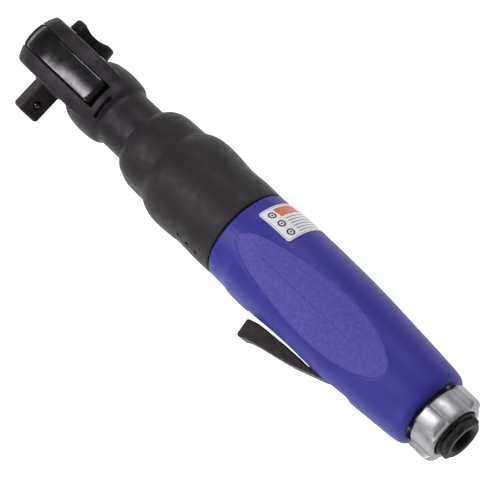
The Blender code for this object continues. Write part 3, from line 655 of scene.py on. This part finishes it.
def square_drive(material):
    """The blank with the ball's hole, the knob stem's bore, and pockets for the pawl and its plunger."""
    drive = drive_blank()
    hole = bar("ball_hole", "X", 2.35, 1.2, 9.0, 32)
    rim = lathe("ball_rim", "X", [(5.7, 0.0), (6.6, 3.1), (6.6, 0.0)], 32)
    for tool in (hole, rim):
        tool.data.transform(Matrix.Translation((0.0, BALL_H * MM, 0.0)))
        combine(drive, "DIFFERENCE", about_drive(tool, DRIVE_TURN))
    combine(drive, "DIFFERENCE", bar("knob_bore", "Y", 4.4, -8.0, 14.0, 36))
    for name, inner, outer, spread, half in (
        ("pawl_pocket", 6.9, 16.0, 43.0, 6.6),
        ("plunger_way", 3.4, 8.0, 53.0, 1.9),
    ):
        out, back = arc(outer, 180 - spread, 180 + spread, 24), arc(inner, 180 + spread, 180 - spread, 24)
        combine(drive, "DIFFERENCE", prism(name, "Y", np.concatenate([out, back]), -half, half))
    combine(drive, "DIFFERENCE", bar("pin_hole", "Y", 1.65, -9.5, 9.0, 24, (-10.2, 0.0)))
    return finished(drive, "anvil", material, ["square_drive_anvil"], 32.0)


def retaining_ball(material):
    """The ball in the square, where the frame has it, slightly uneven with wear."""
    low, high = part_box("detent_ball")
    work = bmesh.new()
    bmesh.ops.create_icosphere(work, subdivisions=4, radius=2.05 * MM)
    for vertex in work.verts:
        vertex.co *= 0.985 + 0.015 * math.cos(900.0 * vertex.co.y) * math.cos(700.0 * vertex.co.x)
    bmesh.ops.translate(work, verts=work.verts, vec=(Vector(low) + Vector(high)) / 2)
    mesh = bpy.data.meshes.new("retaining_ball")
    work.to_mesh(mesh)
    work.free()
    ball = bpy.data.objects.new("retaining_ball", mesh)
    bpy.context.collection.objects.link(ball)
    return finished(ball, "detent_ball", material, ["detent_ball"])


KNOB_REST = 148.0  # the angle of the knob's grip at rest, about the drive's axis


def knob_outline(length, lobe, waist):
    """Plan of the knob's grip along +x: two rounded ends with a waist between."""
    end = arc(lobe / 2, -74.0, 74.0, 30, (length / 2 - lobe / 2, 0.0))
    end_x, end_z = end[-1]
    swell = end_z - waist / 2
    side = [(x, waist / 2 + swell * (x / end_x) ** 2) for x in np.linspace(end_x, 0.0, 9)[1:]]
    other = np.array(side[:-1])[::-1] * (-1.0, 1.0)
    half = np.concatenate([end, side, other])
    return np.concatenate([half, -half])


def reverse_knob(material):
    """A saddle-shaped grip on a stem, cut across by a wide round dip."""
    low, top = HEAD_HALF + 0.12, 22.6
    levels = []
    for t in np.linspace(0.0, 1.0, 12):
        h = low + (top - low) * t
        draw = 2 * (0.6 * t + edge_inset(h, top, 1.7))
        levels.append((h, turned(knob_outline(27.0 - draw, 15.2 - draw, 12.0 - draw), KNOB_REST)))
    knob = stack("reversing_knob", "Y", levels)
    dip_radius, dip_depth = 18.0, 1.9
    circle = arc(dip_radius, 0.0, 360.0, 120, (0.0, top - dip_depth + dip_radius))[:-1]
    combine(knob, "DIFFERENCE", about_drive(prism("dip", "Z", circle, -14.0, 14.0), KNOB_REST))
    soften(knob, 0.3, 5)
    stem = [(-7.4, 0), (-7.4, 4.05), (12.6, 4.05), (12.6, 8.8), (low + 0.5, 8.8), (low + 0.5, 0)]
    combine(knob, "UNION", lathe("knob_stem", "Y", stem, 60))
    combine(knob, "DIFFERENCE", about_drive(bar("plunger_hole", "X", 1.55, -2.8, 6.0, 24), KNOB_REST))
    return finished(knob, "reverse_knob", material, ["reverse_knob"], 45.0)


# ---------------------------------------------------------------- cover, grip and label


# Outsides of the cover and the grip, and the height of the flat under the lever, along the tool.
COVER_LINE = [
    (64, 18.2), (64.6, 19.0), (66, 20.2), (68, 21.7), (71, 22.8), (74, 23.4), (78, 23.6), (86, 23.8),
    (88.5, 24.1), (90.5, 25.0), (93, 26.1), (97, 27.1), (102, 27.5), (108, 27.3), (113, 26.9),
    (118, 26.4), (124, 26.6), (131, 26.9), (138, 26.8), (142.2, 26.7), (142.8, 26.4), (143.0, 26.0),
]
SLEEVE_LINE = [
    (143.5, 25.8), (143.8, 26.3), (144.6, 26.6), (150, 26.7), (154.5, 26.9), (158.5, 27.6), (168, 27.9),
    (180, 27.9), (194, 27.7), (208, 27.4), (220, 26.9), (231, 26.2), (242, 25.4), (254, 24.6),
    (267, 23.6), (275, 22.9), (278, 22.4), (279.8, 21.6), (280.7, 20.6), (281, 19.6),
]
LEVER_FLAT = [
    (160, 29.5), (165, 28.0), (170, 27.7), (176, 27.2), (185, 26.4), (194, 25.9), (206, 25.5),
    (216, 25.6), (226, 26.0), (232, 26.4), (238, 27.5),
]
# Half the width of the grip's side panel, in degrees, along the tool.
LEAF = [
    (151.5, 0), (153, 6), (157, 12), (164, 17.5), (174, 23), (188, 28.5), (202, 32.5), (215, 34.2),
    (228, 33.4), (238, 29.5), (246, 24), (252, 17), (256, 9.5), (257.5, 0),
]
SEAM = 95.4  # the angle of the grip's mould seams, to each side
SHELL_INSIDE = 24.6


def flattened(radius, angle, normal, height, share=1.0):
    """Cuts a flat across a round outline, this high above the axis and facing this angle."""
    facing = np.cos(np.radians(angle - normal))
    flat = np.where(facing > 0.3, height / np.maximum(facing, 0.3), 99.0)
    return radius + (np.minimum(radius, flat) - radius) * share


def cover_radius(x, angle):
    """Outside of the front cover, with flats on its collar and along its rear edge."""
    radius = curve(COVER_LINE, x) * np.ones_like(angle)
    on_collar = smoothstep(66.0, 69.0, x) * (1.0 - smoothstep(85.0, 89.0, x))
    radius = flattened(radius, angle, 166.0, curve(COVER_LINE, x) * 0.966, on_collar)
    rear_flat = curve([(116, 26.3), (121, 25.9), (131, 26.4), (143, 26.1)], x)
    return flattened(radius, angle, 6.0, rear_flat, smoothstep(115.5, 118.5, x))


def off_seam(angle):
    """Degrees from the mould seam of the nearer side, positive towards the lever."""
    return np.abs((angle + 180.0) % 360.0 - 180.0) - SEAM


def leaf_half(x):
    """Half the width of the side panel in degrees, and 0 past its tips."""
    return curve(LEAF, x) * (x > LEAF[0][0]) * (x < LEAF[-1][0])


def sleeve_radius(x, angle):
    """Outside of the grip, with a leaf-shaped panel on each side and a mould seam along its middle."""
    radius = curve(SLEEVE_LINE, x) * np.ones_like(angle)
    radius = flattened(radius, angle, 180.0, curve(LEVER_FLAT, x))
    off = off_seam(angle)
    half = leaf_half(x) * np.ones_like(angle)
    inside = half - np.abs(off)
    # The panel sinks by part of the way to the chord between its edges, sharply at its edge by the lever.
    drop = radius * (1.0 - np.cos(np.radians(half)) / np.cos(np.radians(np.clip(off, -80.0, 80.0))))
    by_lever = off > 0.0
    edge = np.where(by_lever, smoothstep(-0.6, 0.9, inside), smoothstep(-3.0, 9.0, inside))
    radius = radius - edge * (0.28 * np.maximum(drop, 0.0) + 0.25)
    # A bead runs just inside that edge and a groove just outside it.
    radius = radius + 0.3 * by_lever * np.exp(-(((inside - 0.9) / 0.9) ** 2)) * (half > 3.0)
    radius = radius - 0.3 * by_lever * np.exp(-(((inside + 2.0) / 1.6) ** 2)) * (half > 3.0)
    seam = np.exp(-((off / 0.55) ** 2)) * smoothstep(158.0, 170.0, x) * (1.0 - smoothstep(222.0, 240.0, x))
    return radius - 0.3 * seam


def shell(name, xs, radius_of, inside, columns):
    """A closed shell round the tool: its outside from a radius function, its inside from a profile."""
    angles = np.arange(columns) * 360.0 / columns + 0.2
    cosines, sines = np.cos(np.radians(angles)), np.sin(np.radians(angles))
    sections = [(x, radius_of(x, angles)) for x in xs] + inside
    rows = [place("X", radius * cosines, radius * sines, x) for x, radius in sections]
    return skin(name, np.stack(rows), "joined")


def front_cover(material):
    """The rubber cover, with three vent holes beside the lever's side."""
    xs = np.concatenate(
        [np.linspace(64.0, 67.0, 14), np.linspace(67.6, 142.0, 150), np.linspace(142.2, 143.0, 7)]
    )
    inside = [(142.6, SHELL_INSIDE), (101.6, SHELL_INSIDE), (101.6, 21.6), (71.2, 21.6), (69.4, 19.8)]
    inside += [(69.4, 17.0), (64.4, 17.0), (64.0, 17.4)]
    cover = shell("cover_boot", xs, cover_radius, inside, 300)
    vent_turn = 26.2  # degrees round the tool from the middle of the lever
    middle = Matrix.Translation((0.0, AXIS_Y * MM, 0.0))
    about_axis = middle @ Matrix.Rotation(-math.radians(vent_turn), 4, "X") @ middle.inverted()
    for x in (120.0, 127.0, 134.0):
        vent = bar("vent", "Y", 1.15, -30.0, -25.4, 20, (x, 0.0))
        vent.data.transform(about_axis)
        combine(cover, "DIFFERENCE", vent)
    return finished(cover, "body", material, ["front_cover"], 40.0)


def handle_sleeve(material, sheen_panel_material):
    """The grip, open under the lever, with its side panels in their own finish, whose lighter colour is
    painted sheen.
    """
    xs = np.concatenate(
        [np.linspace(143.5, 145.0, 8), np.linspace(145.6, 277.0, 230), np.linspace(277.4, 281.0, 14)]
    )
    inside = [(281.0, 17.6), (277.3, 17.6), (277.3, 19.4), (275, 20.6), (267, 21.6), (254, 22.7)]
    inside += [(242, 23.5), (225, SHELL_INSIDE), (143.5, SHELL_INSIDE)]
    sleeve = shell("grip_sleeve", xs, sleeve_radius, inside, 480)
    outline = rounded([(170.5, -7.3), (247.0, -7.3), (247.0, 7.3), (170.5, 7.3)], 3.0, 8)
    combine(sleeve, "DIFFERENCE", prism("lever_pocket", "Y", outline, -40.0, -14.0))
    finished(sleeve, "body", material, ["handle_sleeve"], 40.0)
    # Faces on the side panels take the lighter finish, a painted sheen.
    sleeve.data.materials.append(sheen_panel_material)
    for face in sleeve.data.polygons:
        x, y, z = face.center / MM
        h = y - AXIS_Y
        on_leaf = leaf_half(x) - abs(off_seam(math.degrees(math.atan2(z, h)))) > 0.3
        faces_out = math.hypot(h, z) > 20.0 and face.normal.dot(Vector((0.0, h, z))) > 0.0
        if on_leaf and faces_out:
            face.material_index = 1
    return sleeve


# The label's ends along the tool, the angles of its edges round it, and the radius that it is measured on.
LABEL_X = (150.7, 173.7)
LABEL_ANGLE = (64.0, -25.2)
LABEL_RADIUS = 27.5


def label_print(u, v, width, height):
    """The ink at (u, v) on the label: 0 paper, 1 grey line, 2 orange, 3 dark, and -1 off its corners."""
    corner = 1.7
    du = np.maximum(np.abs(u - width / 2) - (width / 2 - corner), 0.0)
    dv = np.maximum(np.abs(v - height / 2) - (height / 2 - corner), 0.0)
    edge = corner - np.hypot(du, dv)
    beside = (u < 1.0) | (u > width - 1.0) | (v < 1.0) | (v > height - 1.0)
    ink = np.zeros_like(u, int)
    ink[(edge > 0.55) & (edge < 0.85) & (beside | (du > 0) & (dv > 0))] = 1
    ink[(u > 1.9) & (u < 8.2) & (v > 8.6) & (v < 27.0)] = 2
    for line, length in enumerate((28.0, 26.0, 28.5, 22.0, 27.0, 18.0)):
        low = 9.8 + 2.05 * line
        ink[(u > low) & (u < low + 0.75) & (v > 9.5) & (v < 9.5 + length)] = 1
    for middle in (4.9, 11.9, 18.7):
        away = np.hypot(u - middle, v - 5.2)
        ink[(away > 1.35) & (away < 2.25) | (away < 0.6)] = 3
    ink[edge < 0.0] = -1
    return ink


def rating_label(inks):
    """The label as a thin sheet over the grip, made of small tiles that each take one ink."""
    tile = 0.17
    width = LABEL_X[1] - LABEL_X[0]
    height = math.radians(LABEL_ANGLE[0] - LABEL_ANGLE[1]) * LABEL_RADIUS
    columns, rows = int(width / tile), int(height / tile)
    u = np.linspace(0.0, width, columns + 1)
    v = np.linspace(0.0, height, rows + 1)
    angle = LABEL_ANGLE[0] + (LABEL_ANGLE[1] - LABEL_ANGLE[0]) * v / height
    cosines, sines = np.cos(np.radians(angle)), np.sin(np.radians(angle))
    vertices = []
    for lift in (0.03, 0.2):
        for x in LABEL_X[0] + u:
            radius = sleeve_radius(x, angle) + lift
            vertices.append(place("X", radius * cosines, radius * sines, x))
    centre_u, centre_v = np.meshgrid((u[1:] + u[:-1]) / 2, (v[1:] + v[:-1]) / 2, indexing="ij")
    ink = label_print(centre_u, centre_v, width, height)
    kept = ink >= 0
    per_side = (columns + 1) * (rows + 1)
    index = np.arange(per_side).reshape(columns + 1, rows + 1)
    below = np.stack([index[:-1, :-1], index[:-1, 1:], index[1:, 1:], index[1:, :-1]], axis=-1)[kept]
    above = below + per_side
    sides = []
    padded = np.pad(kept, 1)
    for step_u, step_v, first, second in ((-1, 0, 0, 1), (1, 0, 2, 3), (0, -1, 3, 0), (0, 1, 1, 2)):
        beyond = padded[1 + step_u : columns + 1 + step_u, 1 + step_v : rows + 1 + step_v]
        low, high = below[~beyond[kept]], above[~beyond[kept]]
        sides.append(np.stack([low[:, first], low[:, second], high[:, second], high[:, first]], axis=1))
    sides = np.concatenate(sides)
    faces = np.concatenate([below[:, ::-1], above, sides])
    label = new_object("info_label", np.concatenate(vertices).tolist(), faces.tolist())
    printed = np.concatenate([np.zeros(len(below), int), ink[kept], np.zeros(len(sides), int)])
    finished(label, "body", inks[0], ["rating_label"], 40.0)
    for extra in inks[1:]:
        label.data.materials.append(extra)
    label.data.polygons.foreach_set("material_index", printed.astype(np.int32))
    work = bmesh.new()
    work.from_mesh(label.data)
    loose = [vertex for vertex in work.verts if not vertex.link_faces]
    bmesh.ops.delete(work, geom=loose, context="VERTS")
    work.to_mesh(label.data)
    work.free()
    return label


# ---------------------------------------------------------------- throttle lever, ring and inlet


# Seen from the side: the lever's pivot, and its back from the pivot to the tip.
LEVER_PIVOT = (238.0, -18.6)
LEVER_BACK = [
    (228.5, -26.2), (222.5, -28.1), (217.4, -29.8), (212.0, -31.6), (205.0, -33.4), (198.0, -34.9),
    (190.5, -36.4), (184.0, -38.2),
]


def throttle_lever(material):
    """A channel open towards the grip. Its web is thinner than its sides, to clear the valve stem."""
    half, wall, web = 6.5, 1.6, 1.3
    pivot_x, pivot_h = LEVER_PIVOT
    tip = [(180.8, -39.9), (179.2, -39.3), (177.7, -30.2), (178.6, -29.6)]
    inner = [(184.5, -27.8), (198.0, -26.8), (208.0, -26.4), (219.0, -26.4), (227.5, -24.6)]
    eye = arc(3.4, 200.0, -90.0, 16, LEVER_PIVOT)
    side = [(pivot_x - 2.0, pivot_h - 3.3), *LEVER_BACK, *tip, *inner, *eye]
    lever = prism("throttle_paddle", "Z", rounded(side, 1.3, 4), -half, half)
    hollow = [(x, h + web) for x, h in LEVER_BACK]
    hollow += [(181.6, -38.1), (180.7, -37.0), (179.3, -24.0), (216.0, -20.0), (229.0, -12.0), (244.0, -12.0)]
    hollow += [(244.0, -28.0), (236.0, -26.0)]
    combine(lever, "DIFFERENCE", prism("channel", "Z", hollow, wall - half, half - wall))
    combine(lever, "DIFFERENCE", bar("pivot_hole", "Z", 1.75, -10.0, 10.0, 28, LEVER_PIVOT))
    soften(lever, 0.3, 4)
    return finished(lever, "throttle_lever", material, ["throttle_lever"])


RING_LOBES = 4
LOBE_ANGLE = 12.0
# The ring's outside: position along the tool, radius on a lobe, radius in a hollow.
RING_SECTIONS = [
    (282.5, 16.4, 16.4), (282.8, 16.4, 16.4), (282.9, 18.3, 16.6), (283.2, 19.2, 16.8),
    (283.8, 19.6, 16.9), (286.4, 19.6, 16.9), (289.0, 19.6, 16.9), (292.6, 19.6, 16.9),
    (294.8, 19.4, 16.8), (296.0, 18.9, 16.7), (296.7, 18.0, 16.5), (297.0, 17.0, 16.2),
]


def exhaust_ring(material, shadowed):
    """Lobes with broad scooped hollows between them, and painted shade on the hub at the end by the grip."""
    columns, hub_end = 540, 282.82
    crown_half, foot_half = 12.0, 19.0  # degrees from a lobe's middle
    angles = np.arange(columns) * 360.0 / columns
    cosines, sines = np.cos(np.radians(angles)), np.sin(np.radians(angles))
    half_pitch = 180.0 / RING_LOBES
    from_lobe = np.abs((angles - LOBE_ANGLE + half_pitch) % (2 * half_pitch) - half_pitch)
    hollow = smoothstep(crown_half, foot_half, from_lobe)
    scoop = 0.2 * hollow * (1.0 - ((from_lobe - half_pitch) / (half_pitch - crown_half)) ** 2)
    sections = []
    for x, lobe, valley in RING_SECTIONS:
        sections.append((x, lobe - (lobe - valley) * hollow - scoop * (x > 283.5)))
    sections += [(297.0, 14.2), (296.6, 13.8), (292.6, 13.8), (292.6, 16.0), (282.5, 16.0)]
    rows = [place("X", radius * cosines, radius * sines, x) for x, radius in sections]
    ring = skin("deflector_ring", np.stack(rows), "joined")
    finished(ring, "exhaust_ring", material, ["exhaust_ring"], 30.0)
    # The hub's faces take the dark material as painted shade for the gap between the grip and the ring.
    ring.data.materials.append(shadowed)
    for face in ring.data.polygons:
        if face.center.x / MM < hub_end:
            face.material_index = 1
    return ring


def inlet_bushing(material):
    """The inlet with its flange, hexagon and thread rings."""
    rear, pitch, across_flats, hexagon_turn = 302.9, 1.41, 22.5, 8.0
    profile = [(264.0, 5.2), (264.0, 10.8), (288.4, 10.8), (288.4, 9.1), (291.0, 9.1), (291.0, 10.8)]
    profile += [(294.7, 10.8), (294.7, 12.9), (295.1, 13.2), (297.4, 13.2), (297.9, 12.8), (298.2, 11.6)]
    profile += [(298.5, 11.0), (rear - 0.5, 11.0), (rear, 10.5), (rear, 8.2), (302.2, 7.3)]
    for turn in range(10):
        x = 301.9 - pitch * turn
        profile += [(x, 7.3), (x - pitch / 2, 6.75)]
    profile += [(287.2, 7.1), (286.0, 7.1), (284.5, 5.2)]
    bushing = lathe("inlet_nut", "X", profile, 96)
    corners = arc(across_flats / math.sqrt(3.0), 0.0, 360.0, 6)[:-1]
    hexagon = turned(rounded(corners, 1.4, 4), hexagon_turn)
    levels = [(298.4, hexagon * 0.96), (298.9, hexagon), (rear - 1.5, hexagon)]
    levels += [(rear - 0.9, hexagon * 0.975), (rear - 0.45, hexagon * 0.93)]
    nut = stack("hexagon", "X", levels)
    combine(nut, "DIFFERENCE", bar("nut_bore", "X", 9.6, 290.0, 310.0, 60))
    combine(bushing, "UNION", nut)
    return finished(bushing, "body", material, ["inlet_bushing"], 38.0)


# ---------------------------------------------------------------- studio


def place_camera(scene):
    """A long lens that looks down at the tool, leaning so that the tool lies across the picture."""
    towards = Vector((0.40, 0.01, 0.913)).normalized()
    along = (Vector((1.0, 0.0, 0.0)) - towards * towards.x).normalized()
    across = towards.cross(along)
    lean = math.radians(43.58)
    right = math.cos(lean) * along + math.sin(lean) * across
    up = -math.sin(lean) * along + math.cos(lean) * across
    aim = Vector((0.1433, 0.0342, 0.0)) + 0.00169 * right - 0.00737 * up
    distance = 1.408
    data = bpy.data.cameras.new("camera")
    data.lens = 198.2
    data.sensor_width = 36.0
    data.clip_start, data.clip_end = 0.05, 50.0
    camera = bpy.data.objects.new("camera", data)
    scene.collection.objects.link(camera)
    facing = Matrix((right, up, towards)).transposed().to_4x4()
    camera.matrix_world = Matrix.Translation(aim + distance * towards) @ facing
    scene.camera = camera


def place_lamps(scene):
    """Three soft rectangular lamps that face the tool, each from a direction and at a distance."""
    target = Vector((0.15, 0.0342, 0.0))
    for name, direction, distance, size, power in (
        ("overhead", (-0.40, -0.36, 0.84), 1.1, (0.75, 0.26), 7.0),
        ("knob_side", (-0.30, 0.70, 0.60), 1.2, (0.5, 0.25), 3.5),
        ("drive_side", (0.10, -0.85, 0.45), 1.2, (0.5, 0.25), 3.0),
    ):
        data = bpy.data.lights.new(name, "AREA")
        data.shape = "RECTANGLE"
        data.size, data.size_y = size
        data.energy = power
        lamp = bpy.data.objects.new(name, data)
        scene.collection.objects.link(lamp)
        aim_from = Vector(direction).normalized()
        lamp.location = target + aim_from * distance
        lamp.rotation_mode = "QUATERNION"
        lamp.rotation_quaternion = aim_from.to_track_quat("Z", "X")


def white_floor(scene):
    """A white sheet under the tool, bright enough to stay white in its shade."""
    half, level = 6.0, -0.16
    mesh = bpy.data.meshes.new("floor")
    corners = [(-half, -half, level), (half, -half, level), (half, half, level), (-half, half, level)]
    mesh.from_pydata(corners, [], [(0, 1, 2, 3)])
    floor = bpy.data.objects.new("floor", mesh)
    scene.collection.objects.link(floor)
    paper = Finish("white_paper").set(Roughness=0.9, Specular_IOR_Level=0.1)
    paper.set(Base_Color=(0.93, 0.93, 0.93, 1.0), Emission_Color=(1.0, 1.0, 1.0, 1.0), Emission_Strength=0.55)
    mesh.materials.append(paper.material)


def studio():
    scene = bpy.context.scene
    scene.view_settings.view_transform = "Standard"
    place_camera(scene)
    scene.world = bpy.data.worlds.new("studio")
    scene.world.use_nodes = True
    sky = scene.world.node_tree.nodes["Background"]
    sky.inputs["Color"].default_value = (1.0, 1.0, 1.0, 1.0)
    sky.inputs["Strength"].default_value = 0.2
    place_lamps(scene)
    white_floor(scene)


# ---------------------------------------------------------------- build


def dress_inner_nodes(frame, finishes):
    """Gives every CAD node that still shows a finish to suit its slot in the record."""
    slots = {entry["node"]: entry["material_slot"] for entry in frame["record"]["subparts"]}
    for name, node in frame["nodes"].items():
        if node.hide_render:
            continue
        for slot in node.material_slots:
            slot.material = finishes[slots[name]]


def main():
    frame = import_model()
    ratchet_head(forged_finish())
    black = dark_part_finish()
    ratchet_yoke(yoke_finish(), nose_shade_finish(), edge_highlight_finish())
    square_drive(drive_finish())
    retaining_ball(ball_finish())
    reverse_knob(knob_finish())
    front_cover(rubber_finish())
    handle_sleeve(grip_finish(), sheen_panel_finish())
    gloss = (0.3, 0.42)
    inks = [
        plain_finish("label_paper", (0.88, 0.88, 0.92), (0.94, 0.94, 0.97), gloss, 0.8),
        plain_finish("label_grey", (0.26, 0.26, 0.27), (0.34, 0.34, 0.35), gloss, 0.8),
        plain_finish("label_orange", (0.70, 0.13, 0.035), (0.80, 0.17, 0.05), gloss, 0.8),
        plain_finish("label_dark", (0.02, 0.022, 0.024), (0.035, 0.036, 0.04), gloss, 0.8),
    ]
    rating_label(inks)
    throttle_lever(lever_finish())
    exhaust_ring(chrome_finish(), black)
    inlet_bushing(inlet_finish())
    finishes = {
        "blackened_steel": black,
        "bright_steel": bright_finish(),
        "motor_aluminium": aluminium_finish(),
        "bronze": bronze_finish(),
        "vane_resin": plain_finish("vane_laminate", (0.11, 0.06, 0.03), (0.18, 0.1, 0.05), (0.5, 0.65), 0.7),
        "felt": plain_finish("muffler_felt", (0.22, 0.21, 0.19), (0.34, 0.33, 0.3), (0.85, 0.95), 0.5),
        "seal_rubber": plain_finish("seal_rubber", (0.014,) * 3, (0.024,) * 3, (0.45, 0.6), 0.6),
    }
    dress_inner_nodes(frame, finishes)
    studio()


main()
